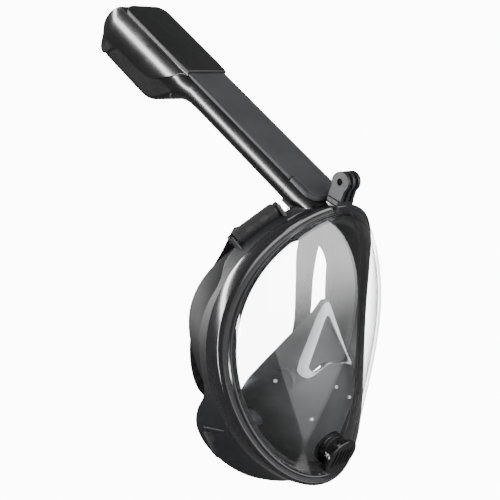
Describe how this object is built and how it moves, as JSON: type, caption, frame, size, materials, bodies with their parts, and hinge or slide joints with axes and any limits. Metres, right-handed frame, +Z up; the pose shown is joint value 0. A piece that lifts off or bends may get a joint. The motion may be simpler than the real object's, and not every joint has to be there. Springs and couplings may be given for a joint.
{
  "type": "full face snorkel",
  "caption": "Full face snorkel mask with a curved clear lens, a detachable tilted breathing tube with a float valve, a silicone skirt, a breathing pocket, a chin drain and a head harness.",
  "frame": {"origin": "centre of the face opening, at the rear rim of the silicone skirt", "axes": "+Z up, -Y the way the wearer looks, +X to the wearer's left; the tube leans back in the YZ plane"},
  "size_m": [0.169, 0.2437, 0.3535],
  "materials": {
    "frame_plastic": "dark grey satin moulded plastic",
    "bezel_plastic": "dark glossy plastic",
    "shell_plastic": "glossy near-black plastic",
    "plate_plastic": "charcoal plastic with a fine matte grain",
    "clear_lens": "clear polycarbonate",
    "black_silicone": "soft black silicone",
    "grey_silicone": "grey translucent silicone",
    "strap_webbing": "black woven elastic",
    "inner_plastic": "dark grey inner moulding",
    "float_foam": "off-white closed-cell float",
    "steel": "stainless steel"
  },
  "bodies": {
    "mask": {"mask_frame": "frame_plastic", "front_bezel": "bezel_plastic", "lens": "clear_lens", "lens_gasket": "black_silicone", "face_skirt": "black_silicone", "orinasal_pocket": "grey_silicone", "pocket_clamp_ring": "inner_plastic", "chin_valve_housing": "shell_plastic", "chin_valve_cover": "shell_plastic", "neck_front_panel": "plate_plastic", "exhale_port_left": "inner_plastic", "exhale_port_right": "inner_plastic", "inhale_valve_seat_left": "inner_plastic", "inhale_valve_seat_right": "inner_plastic", "strap_bars": "frame_plastic", "upper_strap_left": "strap_webbing", "upper_strap_right": "strap_webbing", "lower_strap_left": "strap_webbing", "lower_strap_right": "strap_webbing", "crown_pad": "strap_webbing", "camera_mount": "frame_plastic", "latch_pin": "steel", "latch_spring": "steel"},
    "snorkel": {"tube_rear_shell": "shell_plastic", "tube_front_plate": "plate_plastic", "tube_duct_ribs": "inner_plastic", "tube_spigot": "shell_plastic", "spigot_seal": "black_silicone", "head_hood": "shell_plastic", "head_front_plate": "plate_plastic", "inlet_keel": "shell_plastic", "head_screws": "steel", "head_baffle": "inner_plastic", "float_cage": "inner_plastic", "float_valve_seat": "inner_plastic"},
    "float": {"float_body": "float_foam", "float_seal": "black_silicone"},
    "latch": {"release_latch": "shell_plastic"},
    "inhale_flap_left": {"inhale_valve_flap_left": "black_silicone"},
    "inhale_flap_right": {"inhale_valve_flap_right": "black_silicone"},
    "exhale_flap_left": {"exhale_valve_flap_left": "black_silicone"},
    "exhale_flap_right": {"exhale_valve_flap_right": "black_silicone"},
    "chin_flap": {"chin_valve_flap": "black_silicone"}
  },
  "joints": [
    {"name": "snorkel_slide", "type": "slide", "parent": "mask", "child": "snorkel", "axis": [0, 0.809, 0.5878], "range_m": [0, 0.026]},
    {"name": "float_slide", "type": "slide", "parent": "snorkel", "child": "float", "axis": [0, 0.809, 0.5878], "range_m": [0, 0.008]},
    {"name": "latch_press", "type": "hinge", "parent": "mask", "child": "latch", "pos_m": [0, -0.00265, 0.09925], "axis": [-1, 0, 0], "range_deg": [0, 8], "stiffness_Nm_per_rad": 0.03},
    {"name": "inhale_flap_left_lift", "type": "slide", "parent": "mask", "child": "inhale_flap_left", "axis": [-1, 0, 0], "range_m": [0, 0.0012], "stiffness_N_per_m": 60},
    {"name": "inhale_flap_right_lift", "type": "slide", "parent": "mask", "child": "inhale_flap_right", "axis": [1, 0, 0], "range_m": [0, 0.0012], "stiffness_N_per_m": 60},
    {"name": "exhale_flap_left_lift", "type": "slide", "parent": "mask", "child": "exhale_flap_left", "axis": [1, 0, 0], "range_m": [0, 0.0012], "stiffness_N_per_m": 60},
    {"name": "exhale_flap_right_lift", "type": "slide", "parent": "mask", "child": "exhale_flap_right", "axis": [-1, 0, 0], "range_m": [0, 0.0012], "stiffness_N_per_m": 60},
    {"name": "chin_flap_lift", "type": "slide", "parent": "mask", "child": "chin_flap", "axis": [0, -0.8829, -0.4695], "range_m": [0, 0.0012], "stiffness_N_per_m": 60}
  ]
}
